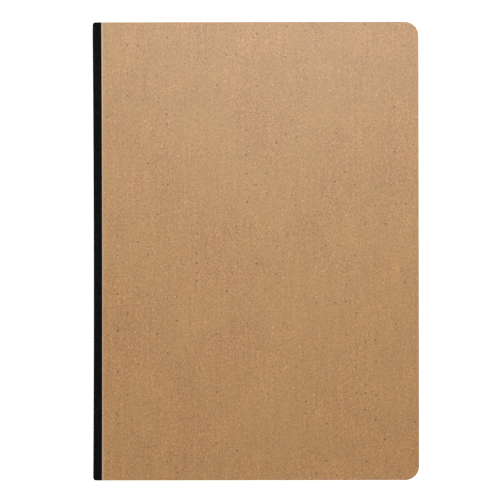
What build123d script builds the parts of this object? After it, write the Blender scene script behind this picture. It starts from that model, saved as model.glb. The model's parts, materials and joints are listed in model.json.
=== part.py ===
"""Pocket notebook: sewn sections, flush-cut kraft board covers and a black cloth spine.

Frame: +X towards the fore edge, +Y towards the head, +Z up through the front cover.
The closed book lies on its back cover. Origin: centre of its footprint, on the table.
"""
import os
from build123d import *

# Driving dimensions, in millimetres
book_height = 148.0          # head to tail
book_width = 105.3           # spine to fore edge, over the cloth
board_thickness = 0.7        # raw kraft board
endpaper_thickness = 0.12    # pastedowns and flyleaves
leaf_pitch = 0.1             # one leaf and the air on it
leaf_gap = 0.01              # the air between two leaves
sheets_per_section = 8       # folded sheets nested in each section
section_count = 5            # odd, so that the book's middle is a section's middle
body_gap = 0.02              # between parts that swing apart

fore_corner_radius = 4.5     # rounded corners at the fore edge
spine_corner_radius = 1.0    # softly rounded ends of the cloth spine
page_inset = 0.3             # leaves stop this far inside the boards

cloth_thickness = 0.25       # black book cloth
cloth_lap = 2.85             # width of the cloth seen on each cover
spine_waist = 0.3            # the spine is this much hollow at mid height
lap_waist = 0.15             # the edge of the cloth lap is a little less hollow
mull_thickness = 0.1         # gauze lining
mull_inset = 4.0             # the gauze stops this far from head and tail
glue_thickness = 0.2         # glue at the narrowest point of the spine: it buries the thread

thread_size = 0.18           # sewing thread
stitch_stations = [-60, -45, -25, -10, 10, 25, 45, 60]
fold_seat = 0.07             # the thread sinks this far past the fold's centre
knot_size = 0.4              # knot at each end of a section's thread
turning_sheets = 2           # inmost sheets of the middle section: their leaves turn alone
turning_clearance = 0.15     # a turning leaf starts this far beyond the fold's centre

# Places worked out from the dimensions
spine_x = -book_width / 2
fore_x = book_width / 2
section_half = sheets_per_section * leaf_pitch
section_thickness = 2 * section_half
cover_thickness = board_thickness + endpaper_thickness
block_bottom = cover_thickness + body_gap
sections_bottom = block_bottom + endpaper_thickness
sections_top = sections_bottom + section_count * section_thickness
block_top = sections_top + endpaper_thickness
book_thickness = block_top + body_gap + cover_thickness
middle_z = book_thickness / 2
middle_section = section_count // 2 + 1

cloth_inner_x = spine_x + cloth_thickness
mull_inner_x = cloth_inner_x + mull_thickness
folds_x = mull_inner_x + spine_waist + glue_thickness
fold_centre_x = folds_x + section_half
page_edge_x = fore_x - page_inset
page_height = book_height - 2 * page_inset
leaf_start_x = fold_centre_x + turning_clearance
leaf_thickness = leaf_pitch - leaf_gap


def save(piece, name):
    """Label a finished piece and write its STEP file."""
    piece.label = name
    export_step(piece, f"parts/{name}.step")


def round_cornered(left, right, height, left_radius, right_radius):
    """Upright rectangle with one radius for its spine corners and one for its fore corners."""
    with BuildSketch() as shape:
        with Locations(((left + right) / 2, 0)):
            Rectangle(right - left, height)
        if left_radius:
            fillet(shape.vertices().group_by(Axis.X)[0], left_radius)
        fillet(shape.vertices().group_by(Axis.X)[-1], right_radius)
    return shape.sketch


def upright_edge(x, waist, half_height):
    """Upright line, or the arc that is hollow by its waist at mid height."""
    if waist:
        ThreePointArc((x, -half_height), (x + waist, 0), (x, half_height))
    else:
        Line((x, -half_height), (x, half_height))


def hollow_strip(left, left_waist, right, right_waist, height):
    """Upright strip whose long sides curve in from the spine by their waists at mid height."""
    half = height / 2
    with BuildSketch() as shape:
        with BuildLine():
            upright_edge(left, left_waist, half)
            Line((left, half), (right, half))
            upright_edge(right, right_waist, half)
            Line((right, -half), (left, -half))
        make_face()
    return shape.sketch


def plate(shape, bottom, top):
    """A layer with the given outline between two heights."""
    with BuildPart() as layer:
        with BuildSketch(Plane.XY.offset(bottom)):
            add(shape)
        extrude(amount=top - bottom)
    return layer.part


# Outlines seen from above
with BuildSketch() as cover_outline:
    add(round_cornered(spine_x, fore_x, book_height, spine_corner_radius, fore_corner_radius))
    with BuildLine():
        ThreePointArc((spine_x, -book_height / 2), (spine_x + spine_waist, 0), (spine_x, book_height / 2))
        Line((spine_x, book_height / 2), (spine_x, -book_height / 2))
    make_face(mode=Mode.SUBTRACT)

with BuildSketch() as cloth_edge:
    add(cover_outline.sketch)
    add(
        hollow_strip(spine_x, spine_waist, cloth_inner_x, spine_waist, book_height),
        mode=Mode.INTERSECT,
    )

with BuildSketch() as lap_outline:
    add(cover_outline.sketch)
    add(
        hollow_strip(spine_x, spine_waist, spine_x + cloth_lap, lap_waist, book_height),
        mode=Mode.INTERSECT,
    )

with BuildSketch() as board_outline:
    add(cover_outline.sketch)
    add(cloth_edge.sketch, mode=Mode.SUBTRACT)

with BuildSketch() as mull_outline:
    add(hollow_strip(cloth_inner_x, spine_waist, mull_inner_x, spine_waist, book_height))
    with Locations((spine_x, 0)):
        Rectangle(10 * cloth_lap, book_height - 2 * mull_inset, mode=Mode.INTERSECT)

with BuildSketch() as glue_outline:
    add(hollow_strip(mull_inner_x, spine_waist, folds_x, 0, book_height))
    with Locations((spine_x, 0)):
        Rectangle(10 * cloth_lap, page_height, mode=Mode.INTERSECT)

leaf_corner = fore_corner_radius - page_inset
page_outline = round_cornered(folds_x, page_edge_x, page_height, 0, leaf_corner)
leaf_outline = round_cornered(leaf_start_x, page_edge_x, page_height, 0, leaf_corner)


def make_cover(prefix, outer, inner):
    """Board, pastedown and cloth lap of one cover. outer is its outside face, inner its inside."""
    up = 1 if outer > inner else -1
    paste_joint = inner + up * endpaper_thickness
    lap_bottom = outer - up * cloth_thickness

    with BuildPart() as board:
        with BuildSketch(Plane.XY.offset(paste_joint)):
            add(board_outline.sketch)
        extrude(amount=outer - paste_joint)
        with BuildSketch(Plane.XY.offset(lap_bottom)):
            add(lap_outline.sketch)
        extrude(amount=outer - lap_bottom, mode=Mode.SUBTRACT)
    save(board.part, f"{prefix}_board")

    with BuildPart() as lap:
        with BuildSketch(Plane.XY.offset(inner)):
            add(cloth_edge.sketch)
        extrude(amount=outer - inner)
        with BuildSketch(Plane.XY.offset(lap_bottom)):
            add(lap_outline.sketch)
        extrude(amount=outer - lap_bottom)
    save(lap.part, f"{prefix}_cloth_lap")

    save(plate(page_outline, inner, paste_joint), f"{prefix}_pastedown")


def make_spine_linings(suffix, bottom, top):
    """Glue, gauze and cloth behind one half of the block."""
    save(plate(glue_outline.sketch, bottom, top), f"spine_glue_{suffix}")
    save(plate(mull_outline.sketch, bottom, top), f"mull_{suffix}")
    save(plate(cloth_edge.sketch, bottom, top), f"spine_cloth_{suffix}")


def fold_profile(radius, middle, mode):
    """Side view of a folded sheet's outside: a round back and two flat leaves."""
    with Locations((fold_centre_x, middle)):
        Circle(radius, mode=mode)
    with Locations(((fold_centre_x + fore_x) / 2, middle)):
        Rectangle(fore_x - fold_centre_x, 2 * radius, mode=mode)


def make_section(name, middle, bottom, top, inmost_sheet=1):
    """Nested folded sheets about one middle height, kept between a bottom and a top height."""
    with BuildPart() as section:
        with BuildSketch(Plane.XZ):
            for sheet in range(sheets_per_section, inmost_sheet - 1, -1):
                fold_profile(sheet * leaf_pitch - leaf_gap / 2, middle, Mode.ADD)
                fold_profile((sheet - 1) * leaf_pitch + leaf_gap / 2, middle, Mode.SUBTRACT)
        extrude(amount=page_height / 2, both=True)
        with BuildSketch(Plane.XY.offset(bottom)):
            add(page_outline)
        extrude(amount=top - bottom, mode=Mode.INTERSECT)
    save(section.part, name)


def make_thread(name, bottom):
    """One section's thread: runs inside the fold and behind it by turns, knotted at both ends."""
    inside_x = fold_centre_x + thread_size / 2 - fold_seat
    outside_x = folds_x - thread_size / 2
    with BuildPart() as thread:
        with BuildSketch(Plane.XY.offset(bottom)):
            for station in stitch_stations:
                with Locations(((inside_x + outside_x) / 2, station)):
                    Rectangle(inside_x - outside_x + thread_size, thread_size)
            runs = list(zip(stitch_stations, stitch_stations[1:]))
            for number, (start, end) in enumerate(runs):
                run_x = inside_x if number % 2 == 0 else outside_x
                with Locations((run_x, (start + end) / 2)):
                    Rectangle(thread_size, end - start + thread_size)
            with Locations((outside_x, stitch_stations[0]), (outside_x, stitch_stations[-1])):
                Rectangle(thread_size, knot_size)
        extrude(amount=thread_size)
    save(thread.part, name)


os.makedirs("parts", exist_ok=True)

make_cover("back", 0, cover_thickness)
make_cover("front", book_thickness, book_thickness - cover_thickness)
make_spine_linings("lower", block_bottom, middle_z - body_gap / 2)
make_spine_linings("upper", middle_z + body_gap / 2, block_top)
save(plate(page_outline, block_bottom, sections_bottom), "back_flyleaf")
save(plate(page_outline, sections_top, block_top), "front_flyleaf")

# Sections are counted from the front cover down
for number in range(1, section_count + 1):
    section_top = sections_top - (number - 1) * section_thickness
    section_bottom = section_top - section_thickness
    section_middle = section_top - section_half
    if number == middle_section:
        inmost = turning_sheets + 1
        make_section(
            f"section_{number}_upper", middle_z, middle_z + body_gap / 2, section_top, inmost
        )
        make_section(
            f"section_{number}_lower", middle_z, section_bottom, middle_z - body_gap / 2, inmost
        )
        make_thread(f"sewing_thread_{number}", middle_z - body_gap / 2 - thread_size)
    else:
        make_section(f"section_{number}", section_middle, section_bottom, section_top)
        make_thread(f"sewing_thread_{number}", section_middle - thread_size / 2)

# The inmost leaves of the middle section turn one by one, counted from the bottom up
for leaf in range(2 * turning_sheets):
    leaf_bottom = middle_z + (leaf - turning_sheets) * leaf_pitch + leaf_gap / 2
    save(plate(leaf_outline, leaf_bottom, leaf_bottom + leaf_thickness), f"centre_leaf_{leaf + 1}")
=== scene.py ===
"""Pocket notebook with kraft board covers, a black cloth spine and sewn sections."""

import json
import math

import bmesh
import bpy
from bpy.props import FloatProperty, FloatVectorProperty, IntProperty, PointerProperty
from bpy.types import Operator, Panel, PropertyGroup
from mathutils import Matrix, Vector


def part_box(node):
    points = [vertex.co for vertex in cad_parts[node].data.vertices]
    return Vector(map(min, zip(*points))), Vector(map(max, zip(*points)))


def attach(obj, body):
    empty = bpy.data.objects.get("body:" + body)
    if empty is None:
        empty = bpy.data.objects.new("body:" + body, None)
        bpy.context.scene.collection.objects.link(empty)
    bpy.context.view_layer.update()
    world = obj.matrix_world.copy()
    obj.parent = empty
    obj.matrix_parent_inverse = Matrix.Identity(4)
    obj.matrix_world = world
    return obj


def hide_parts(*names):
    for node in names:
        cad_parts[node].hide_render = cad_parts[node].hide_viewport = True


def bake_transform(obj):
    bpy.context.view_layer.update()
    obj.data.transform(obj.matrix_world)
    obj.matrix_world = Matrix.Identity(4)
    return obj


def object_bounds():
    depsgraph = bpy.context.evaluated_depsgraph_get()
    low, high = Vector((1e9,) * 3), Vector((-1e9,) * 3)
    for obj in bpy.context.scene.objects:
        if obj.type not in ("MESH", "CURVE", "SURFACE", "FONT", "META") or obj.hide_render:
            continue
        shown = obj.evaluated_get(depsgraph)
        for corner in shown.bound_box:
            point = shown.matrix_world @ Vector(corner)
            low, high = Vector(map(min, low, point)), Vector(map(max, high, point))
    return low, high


bl_info = {
    "name": "Pocket Notebook",
    "version": (1, 0, 0),
    "blender": (4, 5, 0),
    "location": "3D View > Sidebar > Notebook",
    "description": "Builds a sewn pocket notebook with kraft covers and a cloth spine",
    "category": "Object",
}

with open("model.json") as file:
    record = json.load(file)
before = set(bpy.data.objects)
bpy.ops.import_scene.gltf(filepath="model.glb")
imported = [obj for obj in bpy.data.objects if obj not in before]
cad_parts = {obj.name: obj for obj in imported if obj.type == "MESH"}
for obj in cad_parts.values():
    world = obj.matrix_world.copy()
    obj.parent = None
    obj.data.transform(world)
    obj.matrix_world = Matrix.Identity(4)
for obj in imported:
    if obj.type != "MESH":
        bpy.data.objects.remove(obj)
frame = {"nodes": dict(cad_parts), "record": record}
cad_box = [list(corner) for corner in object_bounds()]

MM = 0.001
LOW, HIGH = 0, 1
SAME_PLACE = 1e-6      # distance in metres under which two places count as one
SAME_LEVEL = 1e-8      # the same for the heights of level faces
MERGE_DISTANCE = 1e-7  # distance in metres under which two vertices are merged

STITCH_HOLES = (-60, -45, -25, -10, 10, 25, 45, 60)  # millimetres along the fold from its middle
PALE_BARK = (0.70, 0.50, 0.30)

# Places read from the frame, in metres
SPINE_X, TAIL_Y, _ = cad_box[LOW]
FORE_X, HEAD_Y, BOOK_TOP = cad_box[HIGH]
FRONT_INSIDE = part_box("front_pastedown")[LOW][2]
BACK_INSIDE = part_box("back_pastedown")[HIGH][2]
BLOCK_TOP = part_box("front_flyleaf")[HIGH][2]
BLOCK_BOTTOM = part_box("back_flyleaf")[LOW][2]
ENDPAPER_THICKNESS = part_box("back_flyleaf")[HIGH][2] - BLOCK_BOTTOM
MIDDLE_Z = BOOK_TOP / 2
PAGE_LOW, PAGE_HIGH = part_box("front_flyleaf")
FOLDS_X = PAGE_LOW[0]
PAGE_FORE_X = PAGE_HIGH[0]
LAP_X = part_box("front_cloth_lap")[HIGH][0]
HALF_HEIGHT = HEAD_Y


class CoverSettings(PropertyGroup):
    """Sizes and colours of the kraft board covers."""

    kraft_colour: FloatVectorProperty(
        name="Kraft colour", description="Colour of the board's face", subtype="COLOR",
        size=3, min=0, max=1, default=(0.378, 0.177, 0.0595),
    )
    # Darker than the face: partly the cut edge's own colour, partly painted shade along the
    # cover's rim.
    edge_colour_with_rim_shade: FloatVectorProperty(
        name="Cut edge colour", description="Colour of the board's cut edges", subtype="COLOR",
        size=3, min=0, max=1, default=(0.21, 0.12, 0.058),
    )
    fleck_colour: FloatVectorProperty(
        name="Fleck colour", description="Colour of the dark bark flecks", subtype="COLOR",
        size=3, min=0, max=1, default=(0.09, 0.038, 0.013),
    )
    corner_radius: FloatProperty(
        name="Corner radius", description="Radius of the fore-edge corners", subtype="DISTANCE",
        default=4.5 * MM,
    )
    edge_softness: FloatProperty(
        name="Edge softness", description="Rounding of the cut edges", subtype="DISTANCE",
        default=0.2 * MM,
    )
    hollow: FloatProperty(
        name="Spine hollow", description="How far the spine is hollow at mid height",
        subtype="DISTANCE", default=0.3 * MM,
    )
    lap_hollow: FloatProperty(
        name="Lap hollow", description="How far the cloth's edge on the cover is hollow",
        subtype="DISTANCE", default=0.15 * MM,
    )


class ClothSettings(PropertyGroup):
    """Sizes and colours of the spine cloth."""

    cloth_colour: FloatVectorProperty(
        name="Cloth colour", description="Colour of the book cloth", subtype="COLOR",
        size=3, min=0, max=1, default=(0.0015, 0.0015, 0.0015),
    )
    thread_pitch: FloatProperty(
        name="Thread pitch", description="Distance between two threads of the weave",
        subtype="DISTANCE", default=0.32 * MM,
    )
    thickness: FloatProperty(
        name="Cloth thickness", description="Thickness of the cloth", subtype="DISTANCE",
        default=0.25 * MM,
    )
    shoulder: FloatProperty(
        name="Shoulder", description="Rounding where the cloth turns on to the cover",
        subtype="DISTANCE", default=0.15 * MM,
    )
    end_radius: FloatProperty(
        name="End radius", description="Rounding of the spine's corners at head and tail",
        subtype="DISTANCE", default=1.0 * MM,
    )
    sink: FloatProperty(
        name="Sink", description="How far the cloth lies below the kraft face beside it",
        subtype="DISTANCE", default=0.03 * MM,
    )


class PaperSettings(PropertyGroup):
    """Sizes and colours of the pages, endpapers and sewing."""

    page_colour: FloatVectorProperty(
        name="Page colour", description="Colour of the leaves", subtype="COLOR",
        size=3, min=0, max=1, default=(0.70, 0.635, 0.515),
    )
    endpaper_colour: FloatVectorProperty(
        name="Endpaper colour", description="Colour of the endpapers", subtype="COLOR",
        size=3, min=0, max=1, default=(0.72, 0.66, 0.54),
    )
    rule_colour: FloatVectorProperty(
        name="Rule colour", description="Colour of the ruled lines", subtype="COLOR",
        size=3, min=0, max=1, default=(0.42, 0.47, 0.52),
    )
    rule_pitch: FloatProperty(
        name="Rule pitch", description="Distance between two ruled lines", subtype="DISTANCE",
        default=6 * MM,
    )
    leaf_pitch: FloatProperty(
        name="Leaf pitch", description="Thickness of one leaf and its air", subtype="DISTANCE",
        default=0.1 * MM,
    )
    strand_count: IntProperty(
        name="Strands", description="Strands twisted into the sewing thread", default=3, min=2,
        max=4,
    )


class StageSettings(PropertyGroup):
    """Light and camera."""

    camera_height: FloatProperty(
        name="Camera height", description="Height of the camera over the cover",
        subtype="DISTANCE", default=1.4,
    )
    frame_width: FloatProperty(
        name="Frame width", description="Width that the camera sees at the front cover",
        subtype="DISTANCE", default=161.42 * MM,
    )
    head_light: FloatProperty(
        name="Head light", description="Power of the cool light on the head side",
        subtype="POWER", default=1.2,
    )
    top_light: FloatProperty(
        name="Top light", description="Power of the broad light overhead", subtype="POWER",
        default=8.7,
    )
    sky: FloatProperty(
        name="Sky", description="Strength of the even light from all round", default=0.26, min=0,
    )


# ---------------------------------------------------------------- materials


def add_node(tree, kind, inputs=None, **settings):
    """Add a node, set its properties, and give each listed input a value or a link."""
    node = tree.nodes.new(kind)
    for name, value in settings.items():
        setattr(node, name, value)
    for socket, value in (inputs or {}).items():
        if isinstance(value, bpy.types.NodeSocket):
            tree.links.new(value, node.inputs[socket])
        else:
            node.inputs[socket].default_value = value
    return node


def maths(tree, operation, first, second=0.0, clamp=False):
    """Output of a Math node."""
    node = add_node(tree, "ShaderNodeMath", {0: first, 1: second}, operation=operation)
    node.use_clamp = clamp
    return node.outputs[0]


def scaled(tree, vector, factors):
    """Coordinates multiplied by one factor for each axis."""
    return add_node(
        tree, "ShaderNodeVectorMath", {0: vector, 1: factors}, operation="MULTIPLY"
    ).outputs[0]


def spread(tree, value, low, high, to_low=0.0, to_high=1.0):
    """Value moved from one range to another, and held inside it."""
    return add_node(
        tree, "ShaderNodeMapRange", {0: value, 1: low, 2: high, 3: to_low, 4: to_high}
    ).outputs[0]


def blend_colour(tree, factor, first, second, kind="MIX"):
    """Output of a colour Mix node."""
    node = add_node(
        tree, "ShaderNodeMix", data_type="RGBA", blend_type=kind, clamp_factor=True
    )
    for socket, value in ((0, factor), (6, first), (7, second)):
        if isinstance(value, bpy.types.NodeSocket):
            tree.links.new(value, node.inputs[socket])
        elif socket:
            node.inputs[socket].default_value = (*value, 1)
        else:
            node.inputs[socket].default_value = value
    return node.outputs[2]


def noise(tree, vector, scale, detail=2.0, roughness=0.5):
    """Noise value about 0.5."""
    return add_node(
        tree, "ShaderNodeTexNoise",
        {"Vector": vector, "Scale": scale, "Detail": detail, "Roughness": roughness},
    ).outputs[0]


def brightened(tree, colour, value, amount):
    """Colour made lighter and darker by a value about 0.5."""
    factor = spread(tree, value, 0.0, 1.0, 1 - amount, 1 + amount)
    grey = add_node(tree, "ShaderNodeCombineColor", {0: factor, 1: factor, 2: factor})
    return blend_colour(tree, 1.0, colour, grey.outputs[0], "MULTIPLY")


def flecks(tree, vector, gap, size, share, smear):
    """Mask of specks in a share of the cells. gap and size are in millimetres."""
    cells = add_node(
        tree, "ShaderNodeTexVoronoi", {"Vector": scaled(tree, vector, smear), "Scale": 1 / gap},
        voronoi_dimensions="2D",
    )
    chance = add_node(tree, "ShaderNodeSeparateColor", {0: cells.outputs["Color"]})
    present = maths(tree, "LESS_THAN", chance.outputs[0], share)
    reach = spread(tree, chance.outputs[1], 0, 1, 0.45 * size / gap, size / gap)
    core = maths(tree, "MULTIPLY", reach, 0.5)
    speck = spread(tree, cells.outputs["Distance"], core, reach, 1.0, 0.0)
    return maths(tree, "MULTIPLY", speck, present)


def new_material(name, roughness, colour):
    """Material, its tree, its shader and object coordinates in millimetres."""
    material = bpy.data.materials.new(name)
    material.use_nodes = True
    material.diffuse_color = (*colour, 1)
    tree = material.node_tree
    shader = tree.nodes["Principled BSDF"]
    shader.inputs["Roughness"].default_value = roughness
    place = add_node(tree, "ShaderNodeTexCoord").outputs["Object"]
    return material, tree, shader, scaled(tree, place, (1000, 1000, 1000))


def raise_surface(tree, shader, height, strength, depth_mm):
    """Bump from a height."""
    bump = add_node(
        tree, "ShaderNodeBump",
        {"Height": height, "Strength": strength, "Distance": depth_mm * MM},
    )
    tree.links.new(bump.outputs[0], shader.inputs["Normal"])


def flatness(tree):
    """1 on faces that look up or down, 0 on upright edges."""
    normal = add_node(tree, "ShaderNodeTexCoord").outputs["Normal"]
    upright = add_node(tree, "ShaderNodeSeparateXYZ", {0: normal}).outputs[2]
    return spread(tree, maths(tree, "ABSOLUTE", upright), 0.85, 0.995)


def kraft_pulp(tree, place, colour, fibres, grain):
    """Face of the board without its flecks: fibres, grain, clouds and a yellower tint."""
    long_fibres = noise(tree, scaled(tree, place, (1.0, 0.06, 1.0)), 1.1, 3.0, 0.6)
    clouds = noise(tree, place, 0.07, 3.0, 0.5)
    face = brightened(tree, colour, fibres, 0.80)
    face = brightened(tree, face, long_fibres, 0.20)
    face = brightened(tree, face, grain, 1.0)
    face = brightened(tree, face, clouds, 0.14)
    tint = spread(tree, noise(tree, place, 0.06, 3.0), 0.38, 0.62)
    yellower = (0.345, 0.195, 0.062)
    return blend_colour(tree, maths(tree, "MULTIPLY", tint, 0.3), face, yellower)


def with_bark_flecks(tree, place, face, dark):
    """Face with four kinds of dark fleck, large to fine, and one pale kind."""
    fleck_kinds = (  # gap, size, share of the cells, smear, weight
        (3.2, 0.42, 0.16, (1.0, 1.0, 1.0), 0.85),
        (1.7, 0.30, 0.10, (1.9, 1.0, 1.0), 0.60),
        (1.9, 0.30, 0.10, (1.0, 2.1, 1.0), 0.60),
        (0.8, 0.20, 0.08, (1.3, 1.0, 1.0), 0.45),
    )
    for gap, size, share, smear, weight in fleck_kinds:
        mask = flecks(tree, place, gap, size, share, smear)
        face = blend_colour(tree, maths(tree, "MULTIPLY", mask, weight), face, dark)
    pale = flecks(tree, place, 1.3, 0.26, 0.04, (1.2, 0.8, 1.0))
    return blend_colour(tree, maths(tree, "MULTIPLY", pale, 0.6), face, PALE_BARK)


def with_ring_speck(tree, place, face, dark):
    """Face with one speck that has a dark ring and a pale middle, near the fore edge."""
    ring_middle = (47.2, -6.1, BOOK_TOP / MM)
    away = add_node(
        tree, "ShaderNodeVectorMath", {0: place, 1: ring_middle}, operation="DISTANCE"
    ).outputs["Value"]
    inner, outer = spread(tree, away, 0.2, 0.4), spread(tree, away, 0.5, 0.7, 1.0, 0.0)
    ring = maths(tree, "MULTIPLY", inner, outer)
    face = blend_colour(tree, maths(tree, "MULTIPLY", ring, 0.75), face, dark)
    return blend_colour(tree, spread(tree, away, 0.1, 0.3, 0.6, 0.0), face, PALE_BARK)


def with_pale_edge_and_highlight_by_cloth(tree, place, face):
    """Face with a narrow pale band beside the cloth's edge: partly the pale raw fibres of the
    board's cut edge, partly painted highlight where that edge catches the light.
    """
    across = add_node(tree, "ShaderNodeSeparateXYZ", {0: place}).outputs[0]
    cloth_edge = LAP_X / MM
    # Pale band: partly the cut edge's raw fibre colour, partly painted highlight.
    pale_edge_and_highlight = spread(tree, across, cloth_edge + 0.1, cloth_edge + 0.5, 0.8, 0.0)
    return blend_colour(tree, pale_edge_and_highlight, face, (0.52, 0.40, 0.27))


def kraft_material():
    """Unbleached kraft board: flecked, fibrous faces and darker, layered cut edges, their darkness
    partly the board's own and partly painted shade along the cover's rim.
    """
    settings = bpy.context.scene.notebook_cover
    dark = tuple(settings.fleck_colour)
    material, tree, shader, place = new_material("kraft_finish", 0.44, settings.kraft_colour)
    fibres = noise(tree, scaled(tree, place, (1.0, 0.5, 1.0)), 2.8, 5.0, 0.62)
    grain = noise(tree, place, 3.0, 3.0, 0.7)
    face = kraft_pulp(tree, place, tuple(settings.kraft_colour), fibres, grain)
    face = with_bark_flecks(tree, place, face, dark)
    face = with_ring_speck(tree, place, face, dark)
    face = with_pale_edge_and_highlight_by_cloth(tree, place, face)
    layers = noise(tree, scaled(tree, place, (0.6, 0.6, 9.0)), 1.0, 3.0, 0.7)
    edge = brightened(tree, tuple(settings.edge_colour_with_rim_shade), layers, 0.35)
    # Painted shade: the darker edge colour spreads over the rounded rim, so the cover's rim reads
    # as shaded.
    colour = blend_colour(tree, flatness(tree), edge, face)
    tree.links.new(colour, shader.inputs["Base Color"])
    shader.inputs["Specular IOR Level"].default_value = 0.5
    height = maths(tree, "ADD", fibres, maths(tree, "MULTIPLY", grain, 0.7))
    raise_surface(tree, shader, height, 0.35, 0.05)
    return material


def cloth_material():
    """Black book cloth: plain weave filled with matt starch, a little grey on the high threads."""
    settings = bpy.context.scene.notebook_cloth
    material, tree, shader, place = new_material("cloth_finish", 0.9, settings.cloth_colour)
    threads_per_mm = MM / settings.thread_pitch
    split = add_node(tree, "ShaderNodeSeparateXYZ", {0: place})
    around = maths(tree, "SUBTRACT", split.outputs[0], split.outputs[2])
    warp = maths(tree, "SINE", maths(tree, "MULTIPLY", around, 2 * math.pi * threads_per_mm))
    weft = maths(
        tree, "SINE", maths(tree, "MULTIPLY", split.outputs[1], 2 * math.pi * threads_per_mm)
    )
    weave = maths(tree, "MULTIPLY", warp, weft)
    slub = noise(tree, scaled(tree, place, (1.0, 0.3, 1.0)), 1.6, 3.0)
    height = maths(tree, "ADD", maths(tree, "MULTIPLY", weave, 0.5), slub)
    # Greyer on the high threads of the weave and on the slubs.
    greyer_high_threads = blend_colour(
        tree, spread(tree, height, 0.4, 1.1), tuple(settings.cloth_colour), (0.012, 0.012, 0.012)
    )
    tree.links.new(greyer_high_threads, shader.inputs["Base Color"])
    shader.inputs["Specular IOR Level"].default_value = 0.08
    raise_surface(tree, shader, height, 0.9, 0.10)
    return material


def ruled_lines(tree, along_page, pitch):
    """Mask of ruled lines, with margins left free at head and tail."""
    middle_line = 4.0       # millimetres from the page's middle towards the head
    lines_each_way = 10.5
    away = maths(tree, "ABSOLUTE", maths(tree, "SUBTRACT", along_page, middle_line))
    phase = maths(tree, "PINGPONG", away, pitch / 2)
    line = spread(tree, phase, 0.10, 0.16, 1.0, 0.0)
    inside = maths(tree, "LESS_THAN", away, lines_each_way * pitch)
    return maths(tree, "MULTIPLY", maths(tree, "MULTIPLY", line, inside), 0.65)


def paper_material(name, colour, ruled, layered=True):
    """Uncoated paper: soft fibre mottle, ruled on its faces and layered at its edges if asked."""
    settings = bpy.context.scene.notebook_paper
    material, tree, shader, place = new_material(name, 0.8, colour)
    mottle = noise(tree, place, 0.8, 4.0, 0.6)
    fine = noise(tree, place, 6.0, 2.0)
    face = brightened(tree, tuple(colour), mottle, 0.035)
    split = add_node(tree, "ShaderNodeSeparateXYZ", {0: place})
    if ruled:
        ink = ruled_lines(tree, split.outputs[1], settings.rule_pitch / MM)
        face = blend_colour(tree, ink, face, tuple(settings.rule_colour))
    shader.inputs["Specular IOR Level"].default_value = 0.25
    raise_surface(tree, shader, maths(tree, "ADD", mottle, fine), 0.25, 0.02)
    if not layered:
        tree.links.new(face, shader.inputs["Base Color"])
        return material
    sheets = maths(tree, "MULTIPLY", split.outputs[2], 1 / (settings.leaf_pitch / MM))
    each = add_node(
        tree, "ShaderNodeTexWhiteNoise", {"W": maths(tree, "FLOOR", sheets)},
        noise_dimensions="1D",
    ).outputs[0]
    streak = noise(tree, scaled(tree, place, (0.12, 0.12, 5.0)), 1.0, 3.0, 0.65)
    edge = brightened(tree, tuple(colour), each, 0.10)
    edge = brightened(tree, edge, streak, 0.22)
    colour_output = blend_colour(tree, flatness(tree), edge, face)
    tree.links.new(colour_output, shader.inputs["Base Color"])
    return material


def thread_material():
    """Waxed off-white sewing thread with fine fibres along it."""
    colour = (0.74, 0.70, 0.60)
    material, tree, shader, place = new_material("thread_finish", 0.55, colour)
    fibre = noise(tree, scaled(tree, place, (9.0, 1.5, 9.0)), 2.0, 3.0)
    tree.links.new(brightened(tree, colour, fibre, 0.2), shader.inputs["Base Color"])
    shader.inputs["Sheen Weight"].default_value = 0.3
    raise_surface(tree, shader, fibre, 0.4, 0.02)
    return material


def gauze_material():
    """Starched gauze lining with an open weave."""
    colour = (0.66, 0.63, 0.54)
    material, tree, shader, place = new_material("gauze_finish", 0.85, colour)
    split = add_node(tree, "ShaderNodeSeparateXYZ", {0: place})
    turns = 2 * math.pi / 0.8   # one thread of the open weave every 0.8 mm
    up = maths(tree, "SINE", maths(tree, "MULTIPLY", split.outputs[2], turns))
    along = maths(tree, "SINE", maths(tree, "MULTIPLY", split.outputs[1], turns))
    weave = maths(tree, "MAXIMUM", up, along)
    thread = spread(tree, weave, 0.2, 0.8)
    tree.links.new(
        blend_colour(tree, thread, (0.30, 0.28, 0.22), colour), shader.inputs["Base Color"]
    )
    raise_surface(tree, shader, thread, 0.6, 0.05)
    return material


def glue_material():
    """Dried white spine glue, slightly glossy and uneven."""
    colour = (0.72, 0.69, 0.58)
    material, tree, shader, place = new_material("glue_finish", 0.35, colour)
    lumps = noise(tree, place, 0.9, 3.0)
    tree.links.new(brightened(tree, colour, lumps, 0.12), shader.inputs["Base Color"])
    raise_surface(tree, shader, lumps, 0.4, 0.1)
    return material


def finish_named(name, maker, *details):
    """The material of that name, made once."""
    return bpy.data.materials.get(name) or maker(*details)


def page_finish():
    """Ruled page paper."""
    colour = bpy.context.scene.notebook_paper.page_colour
    return finish_named("page_finish", paper_material, "page_finish", colour, True)


def leaf_finish():
    """Ruled page paper for thin single leaves, without the layers of a page block's edge."""
    colour = bpy.context.scene.notebook_paper.page_colour
    return finish_named("leaf_finish", paper_material, "leaf_finish", colour, True, False)


def endpaper_finish():
    """Plain endpaper."""
    colour = bpy.context.scene.notebook_paper.endpaper_colour
    return finish_named("endpaper_finish", paper_material, "endpaper_finish", colour, False)


# ---------------------------------------------------------------- modelling


def select_only(first, *others):
    """Select these pieces and no others, the first of them active."""
    bpy.ops.object.select_all(action="DESELECT")
    for piece in (first, *others):
        piece.select_set(True)
    bpy.context.view_layer.objects.active = first


def start_edit(piece):
    """Open one piece in edit mode with nothing selected, and return its mesh."""
    select_only(piece)
    bpy.ops.object.mode_set(mode="EDIT")
    bpy.ops.mesh.select_mode(type="VERT")
    bpy.ops.mesh.select_all(action="DESELECT")
    return bmesh.from_edit_mesh(piece.data)


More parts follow.
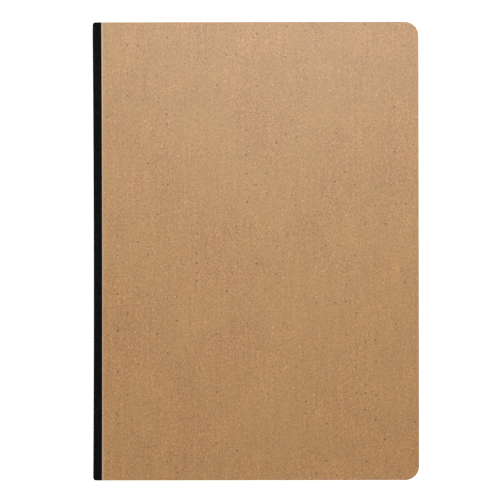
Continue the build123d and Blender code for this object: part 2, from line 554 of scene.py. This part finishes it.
def select_by(piece, kind, test):
    """Select the vertices, edges or faces that pass a test, and show the choice to operators."""
    mesh = bmesh.from_edit_mesh(piece.data)
    bpy.ops.mesh.select_mode(type={"verts": "VERT", "edges": "EDGE", "faces": "FACE"}[kind])
    bpy.ops.mesh.select_all(action="DESELECT")
    for element in getattr(mesh, kind):
        if test(element):
            element.select_set(True)
    mesh.select_flush_mode()
    bmesh.update_edit_mesh(piece.data)


def end_edit():
    """Make the normals face outwards and leave edit mode."""
    bpy.ops.mesh.select_all(action="SELECT")
    bpy.ops.mesh.remove_doubles(threshold=MERGE_DISTANCE)
    bpy.ops.mesh.normals_make_consistent(inside=False)
    bpy.ops.object.mode_set(mode="OBJECT")


def sheet_between(name, low, high, rows, columns=1):
    """Flat grid between two corners, at the origin with its place in its mesh."""
    bpy.ops.object.select_all(action="DESELECT")
    middle = ((low[0] + high[0]) / 2, (low[1] + high[1]) / 2, low[2])
    bpy.ops.mesh.primitive_grid_add(
        x_subdivisions=columns, y_subdivisions=rows, size=1, location=middle
    )
    piece = bpy.context.active_object
    piece.name = name
    piece.data.name = name
    piece.scale = (high[0] - low[0], high[1] - low[1], 1)
    bpy.ops.object.transform_apply(location=True, rotation=True, scale=True)
    return piece


def is_corner(vertex, x, y_reach):
    """True for a vertex at that x on the head or tail edge."""
    return abs(vertex.co.x - x) < SAME_PLACE and abs(abs(vertex.co.y) - y_reach) < SAME_PLACE


def round_corners(piece, x, y_reach, radius, segments):
    """Bevel the two corners of a flat sheet that lie at one x."""
    start_edit(piece)
    select_by(piece, "verts", lambda v: is_corner(v, x, y_reach))
    bpy.ops.mesh.bevel(offset=radius, segments=segments, affect="VERTICES", profile=0.5)
    bpy.ops.object.mode_set(mode="OBJECT")


def thicken(piece, rise):
    """Raise a flat sheet into a slab."""
    start_edit(piece)
    bpy.ops.mesh.select_all(action="SELECT")
    bpy.ops.mesh.extrude_region_move(TRANSFORM_OT_translate={"value": (0, 0, rise)})
    end_edit()


def hollow_spine_side(piece, spine_x, hollow, far_x, far_hollow):
    """Curve the spine side in at mid height, less and less towards far_x."""
    for vertex in piece.data.vertices:
        if vertex.co.x < far_x + 0.01 * MM:
            share = min(max((vertex.co.x - spine_x) / (far_x - spine_x), 0), 1)
            depth = hollow + (far_hollow - hollow) * share
            vertex.co.x += depth * (1 - (vertex.co.y / HALF_HEIGHT) ** 2)


def apply_modifier(piece, kind, **settings):
    """Add a modifier and apply it."""
    select_only(piece)
    modifier = piece.modifiers.new(kind.title(), kind)
    for name, value in settings.items():
        setattr(modifier, name, value)
    bpy.ops.object.modifier_apply(modifier=modifier.name)


def smooth(piece, degrees=30):
    """Smooth shading, with edges sharper than an angle kept."""
    select_only(piece)
    bpy.ops.object.shade_smooth_by_angle(angle=math.radians(degrees))


def give_finish(piece, material):
    """One material all over."""
    piece.data.materials.clear()
    piece.data.materials.append(material)


def side_faces_at(piece, x, low, high):
    """Select the upright faces at one x between two heights."""
    select_by(
        piece, "faces",
        lambda f: all(abs(v.co.x - x) < SAME_PLACE for v in f.verts)
        and low < f.calc_center_median().z < high,
    )


def make_kraft_board(name, inside, outside, body, node):
    """Board with its face stepped down under the cloth lap, and softly rounded cut edges."""
    cover = bpy.context.scene.notebook_cover
    cloth = bpy.context.scene.notebook_cloth
    up = 1 if outside > inside else -1
    step = up * cloth.thickness
    edge_x = LAP_X - cover.lap_hollow
    board = sheet_between(name, (edge_x, TAIL_Y, inside), (FORE_X, HEAD_Y, inside), 24, columns=6)
    round_corners(board, FORE_X, HALF_HEIGHT, cover.corner_radius, 10)
    start_edit(board)
    for rise in (outside - step - inside, step):
        bpy.ops.mesh.select_mode(type="FACE")
        select_by(board, "faces", lambda f: is_level(f, board, up))
        bpy.ops.mesh.extrude_region_move(TRANSFORM_OT_translate={"value": (0, 0, rise)})
    low, high = sorted((inside, outside - step))
    side_faces_at(board, edge_x, low, high)
    tongue = SPINE_X + cloth.thickness - edge_x
    bpy.ops.mesh.extrude_region_move(TRANSFORM_OT_translate={"value": (tongue, 0, 0)})
    select_by(
        board, "edges",
        lambda e: all(is_corner(v, edge_x + tongue, HALF_HEIGHT) for v in e.verts),
    )
    bpy.ops.mesh.bevel(
        offset=cloth.end_radius - cloth.thickness, segments=4, affect="EDGES"
    )
    end_edit()
    hollow_spine_side(board, SPINE_X, cover.hollow, edge_x, cover.lap_hollow)
    apply_modifier(
        board, "BEVEL", width=cover.edge_softness, segments=2, limit_method="ANGLE",
        angle_limit=math.radians(40),
    )
    smooth(board, 20)
    give_finish(board, finish_named("kraft_finish", kraft_material))
    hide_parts(node)
    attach(board, body)
    return board


def is_level(face, piece, up):
    """True for the outermost level faces of the piece in the given direction."""
    mesh = bmesh.from_edit_mesh(piece.data)
    top = max(up * v.co.z for v in mesh.verts)
    return all(abs(up * v.co.z - top) < SAME_LEVEL for v in face.verts)


def make_spine_wall(name, outside, stops, with_lap):
    """Cloth sheet folded over a cover's spine edge and down through a row of heights."""
    cover = bpy.context.scene.notebook_cover
    cloth = bpy.context.scene.notebook_cloth
    lap_edge = LAP_X - cover.lap_hollow
    strip = sheet_between(
        name, (SPINE_X, TAIL_Y, outside), (lap_edge, HEAD_Y, outside), 36, columns=3
    )
    round_corners(strip, SPINE_X, HALF_HEIGHT, cloth.end_radius, 4)
    start_edit(strip)
    reach = SPINE_X + cloth.end_radius + SAME_PLACE
    select_by(
        strip, "edges",
        lambda e: e.is_boundary and all(v.co.x < reach for v in e.verts),
    )
    level = outside
    for stop in stops:
        bpy.ops.mesh.extrude_region_move(
            TRANSFORM_OT_translate={"value": (0, 0, stop - level)}
        )
        level = stop
    if with_lap:
        select_by(
            strip, "edges",
            lambda e: not e.is_boundary
            and all(abs(v.co.z - outside) < SAME_LEVEL and v.co.x < reach for v in e.verts)
            and any(abs(f.normal.z) < 0.5 for f in e.link_faces),
        )
        bpy.ops.mesh.bevel(offset=cloth.shoulder, segments=3, affect="EDGES")
    else:
        select_by(strip, "faces", lambda f: abs(f.normal.z) > 0.5)
        bpy.ops.mesh.delete(type="FACE")
    end_edit()
    hollow_spine_side(strip, SPINE_X, cover.hollow, lap_edge, cover.lap_hollow)
    turn_outwards(strip)
    apply_modifier(strip, "SOLIDIFY", thickness=cloth.thickness, offset=-1)
    smooth(strip, 40)
    give_finish(strip, finish_named("cloth_finish", cloth_material))
    return strip


def turn_outwards(strip):
    """Flip an open cloth sheet if its spine wall looks into the book."""
    wall = [face for face in strip.data.polygons if abs(face.normal.x) > 0.9]
    if sum(face.normal.x * face.area for face in wall) > 0:
        strip.data.flip_normals()


def hinge_rows(near, far, count=8):
    """Heights across a hinge zone, close together so that the cloth can bend there."""
    return [near + (far - near) * row / count for row in range(count + 1)]


def make_leaf_slab(name, low_x, bottom, top, columns=2):
    """Flat leaf with rounded fore-edge corners."""
    radius = bpy.context.scene.notebook_cover.corner_radius - (FORE_X - PAGE_FORE_X)
    low, high = (low_x, PAGE_LOW[1], bottom), (PAGE_FORE_X, PAGE_HIGH[1], bottom)
    slab = sheet_between(name, low, high, 24, columns)
    round_corners(slab, PAGE_FORE_X, PAGE_HIGH[1], radius, 8)
    thicken(slab, top - bottom)
    return slab


def cut_across(piece, first_x, last_x, count):
    """Add upright cuts through a leaf, evenly spaced, so that it can bend."""
    start_edit(piece)
    for step in range(count + 1):
        bpy.ops.mesh.select_all(action="SELECT")
        bpy.ops.mesh.bisect(
            plane_co=(first_x + (last_x - first_x) * step / count, 0, 0), plane_no=(1, 0, 0)
        )
    end_edit()


def make_gutter_strip(name, bottom, top, body):
    """Paper of the middle fold that covers the glue and the cloth's edge on one half."""
    low_x = SPINE_X + 0.03 * MM     # just inside the cloth's outer face
    far_x = FOLDS_X + 0.05 * MM     # just past the fold of the sections
    corner_radius = 0.8 * MM
    low, high = (low_x, PAGE_LOW[1], bottom), (far_x, PAGE_HIGH[1], bottom)
    strip = sheet_between(name, low, high, 36)
    round_corners(strip, low_x, PAGE_HIGH[1], corner_radius, 4)
    thicken(strip, top - bottom)
    hollow = bpy.context.scene.notebook_cover.hollow
    hollow_spine_side(strip, low_x, hollow, far_x, 0)
    give_finish(strip, leaf_finish())
    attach(strip, body)
    return strip


def join_pieces(first, *others):
    """Join pieces into the first."""
    select_only(first, *others)
    bpy.ops.object.join()
    return first


def make_fold_web(name, depth, low_z, high_z, near, far):
    """Narrow upright strip of endpaper at the fold, with rows across the hinge zone."""
    low, high = (FOLDS_X, PAGE_LOW[1], low_z), (FOLDS_X + depth, PAGE_HIGH[1], low_z)
    web = sheet_between(name, low, high, 24)
    start_edit(web)
    bpy.ops.mesh.select_mode(type="FACE")
    bpy.ops.mesh.select_all(action="SELECT")
    level = low_z
    for stop in [*hinge_rows(near, far), high_z]:
        bpy.ops.mesh.extrude_region_move(
            TRANSFORM_OT_translate={"value": (0, 0, stop - level)}
        )
        level = stop
    end_edit()
    return web


def make_endpaper(name, flyleaf, pastedown):
    """Flyleaf, pastedown and the fold that joins them across the cover's hinge."""
    fly_low, fly_high = (corner[2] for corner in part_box(flyleaf))
    paste_low, paste_high = (corner[2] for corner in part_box(pastedown))
    piece = make_leaf_slab(name, FOLDS_X, fly_low, fly_high, 4)
    paste = make_leaf_slab(f"{name}_paste", FOLDS_X, paste_low, paste_high, 4)
    if fly_high < paste_low:
        near, far = fly_high, paste_low
    else:
        near, far = paste_high, fly_low
    inset = ENDPAPER_THICKNESS / 2
    web = make_fold_web(
        f"{name}_web", ENDPAPER_THICKNESS, near - inset, far + inset, near, far
    )
    join_pieces(piece, paste, web)
    smooth(piece, 40)
    give_finish(piece, endpaper_finish())
    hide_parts(flyleaf, pastedown)
    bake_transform(piece)
    return piece


def stitch_path(node):
    """Path of a section's thread, inside the fold and behind it by turns, and its thickness."""
    low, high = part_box(node)
    size = high[2] - low[2]
    middle = (low[2] + high[2]) / 2
    inside = high[0] - size / 2
    behind = low[0] + size / 2
    stations = [hole * MM for hole in STITCH_HOLES]
    path = [Vector((behind, stations[0], middle))]
    for number, station in enumerate(stations):
        sides = (behind, inside) if number % 2 == 0 else (inside, behind)
        path += [Vector((side, station, middle)) for side in sides]
    path = [path[0], *[b for a, b in zip(path, path[1:]) if (b - a).length > SAME_PLACE]]
    return path, size


def make_strand(name, points, radius):
    """One strand of thread as a round curve through its points."""
    curve = bpy.data.curves.new(name, "CURVE")
    curve.dimensions = "3D"
    curve.bevel_depth = radius
    curve.bevel_resolution = 1
    curve.use_fill_caps = True
    spline = curve.splines.new("POLY")
    spline.points.add(len(points) - 1)
    for point, place in zip(spline.points, points):
        point.co = (*place, 1)
    strand = bpy.data.objects.new(name, curve)
    bpy.context.scene.collection.objects.link(strand)
    return strand


def make_twisted_thread(name, node, strand_count):
    """Thread of one section, twisted from strands."""
    path, size = stitch_path(node)
    turns_per_metre = 1100
    strand_radius = size * 0.25
    lay_radius = size * 0.24    # the strands' distance from the thread's middle
    strands = []
    for number in range(strand_count):
        points = twisted_points(path, turns_per_metre, lay_radius, number / strand_count)
        strands.append(make_strand(f"{name}_strand", points, strand_radius))
    select_only(*strands)
    bpy.ops.object.convert(target="MESH")
    thread = join_pieces(*strands)
    thread.name = name
    thread.data.name = name
    smooth(thread, 60)
    return thread


def twisted_points(path, turns_per_metre, radius, phase):
    """Points of one strand winding round a path of straight runs."""
    points_per_turn = 6
    points = []
    travelled = 0.0
    for start, end in zip(path, path[1:]):
        run = end - start
        direction = run.normalized()
        side = direction.cross(Vector((0, 0, 1))).normalized()
        up = side.cross(direction)
        steps = max(2, round(run.length * turns_per_metre * points_per_turn))
        for step in range(steps):
            along = run.length * (step + 0.5) / steps
            angle = 2 * math.pi * ((travelled + along) * turns_per_metre + phase)
            offset = side * math.cos(angle) + up * math.sin(angle)
            points.append(start + direction * along + offset * radius)
        travelled += run.length
    return points


# ---------------------------------------------------------------- operators


class NOTEBOOK_OT_covers(Operator):
    """Make the two kraft boards"""

    bl_idname = "notebook.covers"
    bl_label = "Kraft covers"

    def execute(self, context):
        front_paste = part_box("front_pastedown")[HIGH][2]
        back_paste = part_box("back_pastedown")[LOW][2]
        make_kraft_board("front_kraft_cover", front_paste, BOOK_TOP, "front_cover", "front_board")
        make_kraft_board("back_kraft_cover", back_paste, 0.0, "back_cover", "back_board")
        return {"FINISHED"}


class NOTEBOOK_OT_spine_cloth(Operator):
    """Make the black cloth over the spine, in the three lengths that bend at the hinges"""

    bl_idname = "notebook.spine_cloth"
    bl_label = "Spine cloth"

    def execute(self, context):
        cloth = context.scene.notebook_cloth
        sunk = cloth.sink
        quarter = BOOK_TOP / 4
        front_stops = [BOOK_TOP - cloth.thickness - sunk, *hinge_rows(FRONT_INSIDE, BLOCK_TOP)]
        front = make_spine_wall(
            "spine_cloth_front_joint", BOOK_TOP - sunk, [*front_stops, BOOK_TOP - quarter], True
        )
        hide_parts("front_cloth_lap")
        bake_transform(front)
        back_stops = [cloth.thickness + sunk, *hinge_rows(BACK_INSIDE, BLOCK_BOTTOM)]
        back = make_spine_wall("spine_cloth_back_joint", sunk, [*back_stops, quarter], True)
        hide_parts("back_cloth_lap")
        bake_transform(back)
        upper_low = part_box("spine_cloth_upper")[LOW][2]
        lower_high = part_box("spine_cloth_lower")[HIGH][2]
        middle_stops = [*hinge_rows(upper_low, lower_high), quarter]
        middle = make_spine_wall(
            "spine_cloth_middle", BOOK_TOP - quarter, middle_stops, False
        )
        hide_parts("spine_cloth_upper", "spine_cloth_lower")
        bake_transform(middle)
        return {"FINISHED"}


class NOTEBOOK_OT_endpapers(Operator):
    """Make the two folded endpapers"""

    bl_idname = "notebook.endpapers"
    bl_label = "Endpapers"

    def execute(self, context):
        make_endpaper(
            "front_endpaper", "front_flyleaf", "front_pastedown"
        )
        make_endpaper(
            "back_endpaper", "back_flyleaf", "back_pastedown"
        )
        return {"FINISHED"}


class NOTEBOOK_OT_text_block(Operator):
    """Finish the sewn sections, their lining and their glue"""

    bl_idname = "notebook.text_block"
    bl_label = "Text block"

    def execute(self, context):
        finishes = {
            "page_paper": page_finish(),
            "mull": finish_named("gauze_finish", gauze_material),
            "spine_glue": finish_named("glue_finish", glue_material),
        }
        for part in frame["record"]["subparts"]:
            material = finishes.get(part["material_slot"])
            if material:
                node = frame["nodes"][part["node"]]
                node.data.materials.clear()
                node.data.materials.append(material)
        gap, thickness = 0.005 * MM, 0.03 * MM
        near, far = MIDDLE_Z - gap, MIDDLE_Z + gap
        make_gutter_strip("gutter_paper_lower", near - thickness, near, "lower_block")
        make_gutter_strip("gutter_paper_upper", far, far + thickness, "upper_block")
        return {"FINISHED"}


class NOTEBOOK_OT_centre_leaves(Operator):
    """Make the inmost leaves of the middle section, which bend as they turn"""

    bl_idname = "notebook.centre_leaves"
    bl_label = "Centre leaves"

    def execute(self, context):
        # Start and end of the bend of the leaves that bend, measured from the fold
        bends = {2: (-36 * MM, 45 * MM), 3: (-32 * MM, 40 * MM)}
        first_cut, last_cut = 1 * MM, 46 * MM
        for number in range(1, 5):
            node = f"centre_leaf_{number}"
            low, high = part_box(node)
            leaf = make_leaf_slab(f"turning_leaf_{number}", low[0], low[2], high[2])
            cut_across(leaf, low[0] + first_cut, low[0] + last_cut, 45)
            smooth(leaf, 40)
            give_finish(leaf, leaf_finish())
            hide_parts(node)
            if number in bends:
                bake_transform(leaf)
            else:
                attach(leaf, node)
        return {"FINISHED"}


class NOTEBOOK_OT_sewing(Operator):
    """Twist the sewing thread of each section"""

    bl_idname = "notebook.sewing"
    bl_label = "Sewing thread"

    def execute(self, context):
        strands = context.scene.notebook_paper.strand_count
        finish = finish_named("thread_finish", thread_material)
        for number in range(1, 6):
            node = f"sewing_thread_{number}"
            thread = make_twisted_thread(f"stitching_{number}", node, strands)
            give_finish(thread, finish)
            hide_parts(node)
            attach(thread, "upper_block" if number < 3 else "lower_block")
        return {"FINISHED"}


class NOTEBOOK_OT_stage(Operator):
    """Set the table, the lights and the camera"""

    bl_idname = "notebook.stage"
    bl_label = "Stage"

    def execute(self, context):
        settings = context.scene.notebook_stage
        table = make_table()
        add_area_light(
            "overhead_light", (0.0, 0.1, 1.3), settings.top_light, size=1.6,
            colour=(1, 0.92, 0.80),
        )
        add_area_light(
            "head_light", (0.015, 0.17, 0.36), settings.head_light, size=0.16,
            colour=(0.80, 0.95, 1),
        )
        light_from_all_round(settings.sky)
        aim_camera(settings.camera_height, settings.frame_width)
        context.scene.view_settings.view_transform = "Standard"
        context.scene.view_settings.look = "None"
        return {"FINISHED"}


def make_table():
    """Broad white table that glows a little, so that it stays plain white."""
    bpy.ops.object.select_all(action="DESELECT")
    just_below = -0.02 * MM
    bpy.ops.mesh.primitive_plane_add(size=6, location=(0, 0, just_below))
    table = bpy.context.active_object
    table.name = "table"
    material = bpy.data.materials.new("white_table")
    material.use_nodes = True
    shader = material.node_tree.nodes["Principled BSDF"]
    shader.inputs["Base Color"].default_value = (0.93, 0.93, 0.93, 1)
    shader.inputs["Roughness"].default_value = 0.9
    shader.inputs["Specular IOR Level"].default_value = 0.0
    shader.inputs["Emission Color"].default_value = (1, 1, 1, 1)
    shader.inputs["Emission Strength"].default_value = 0.75
    table.data.materials.append(material)
    return table


def light_from_all_round(strength):
    """Even, slightly warm light from every side."""
    world = bpy.data.worlds.new("studio")
    world.use_nodes = True
    background = world.node_tree.nodes["Background"]
    background.inputs["Strength"].default_value = strength
    background.inputs["Color"].default_value = (1, 0.93, 0.82, 1)
    bpy.context.scene.world = world


def aim_camera(height, frame_width):
    """Camera that looks straight down on the front cover."""
    camera = bpy.data.cameras.new("camera")
    viewer = bpy.data.objects.new("camera", camera)
    bpy.context.scene.collection.objects.link(viewer)
    frame_centre = (-1.87 * MM, 0.35 * MM)
    viewer.location = (*frame_centre, BOOK_TOP + height)
    viewer.rotation_euler = (0, 0, math.radians(-0.09))
    camera.sensor_width = 36
    camera.lens = camera.sensor_width * height / frame_width
    camera.clip_start = 0.05
    camera.clip_end = 20
    bpy.context.scene.camera = viewer


def add_area_light(name, place, power, size, colour):
    """Square light aimed at the origin, which is the middle of the book's underside."""
    light = bpy.data.lights.new(name, "AREA")
    light.energy = power
    light.size = size
    light.color = colour
    lamp = bpy.data.objects.new(name, light)
    lamp.location = place
    lamp.rotation_euler = Vector(place).to_track_quat("Z", "Y").to_euler()
    bpy.context.scene.collection.objects.link(lamp)
    return lamp


class NOTEBOOK_PT_panel(Panel):
    """Sidebar panel with the notebook's sizes, colours and steps."""

    bl_label = "Pocket Notebook"
    bl_idname = "NOTEBOOK_PT_panel"
    bl_space_type = "VIEW_3D"
    bl_region_type = "UI"
    bl_category = "Notebook"

    def draw(self, context):
        layout = self.layout
        for group in SETTINGS:
            box = layout.box()
            settings = getattr(context.scene, group)
            for name in SETTINGS[group].__annotations__:
                box.prop(settings, name)
        for step in STEPS:
            layout.operator(step.bl_idname)


SETTINGS = {
    "notebook_cover": CoverSettings,
    "notebook_cloth": ClothSettings,
    "notebook_paper": PaperSettings,
    "notebook_stage": StageSettings,
}
STEPS = (
    NOTEBOOK_OT_stage,
    NOTEBOOK_OT_text_block,
    NOTEBOOK_OT_covers,
    NOTEBOOK_OT_spine_cloth,
    NOTEBOOK_OT_endpapers,
    NOTEBOOK_OT_centre_leaves,
    NOTEBOOK_OT_sewing,
)


def register():
    """Add the settings, the operators and the panel."""
    for group in (*SETTINGS.values(), *STEPS, NOTEBOOK_PT_panel):
        bpy.utils.register_class(group)
    for name, group in SETTINGS.items():
        setattr(bpy.types.Scene, name, PointerProperty(type=group))


def unregister():
    """Take them away again."""
    for name in SETTINGS:
        delattr(bpy.types.Scene, name)
    for group in (NOTEBOOK_PT_panel, *reversed(STEPS), *reversed(list(SETTINGS.values()))):
        bpy.utils.unregister_class(group)


def main():
    """Build the whole notebook."""
    register()
    bpy.ops.notebook.stage()
    bpy.ops.notebook.text_block()
    bpy.ops.notebook.covers()
    bpy.ops.notebook.spine_cloth()
    bpy.ops.notebook.endpapers()
    bpy.ops.notebook.centre_leaves()
    bpy.ops.notebook.sewing()


if __name__ == "__main__":
    main()
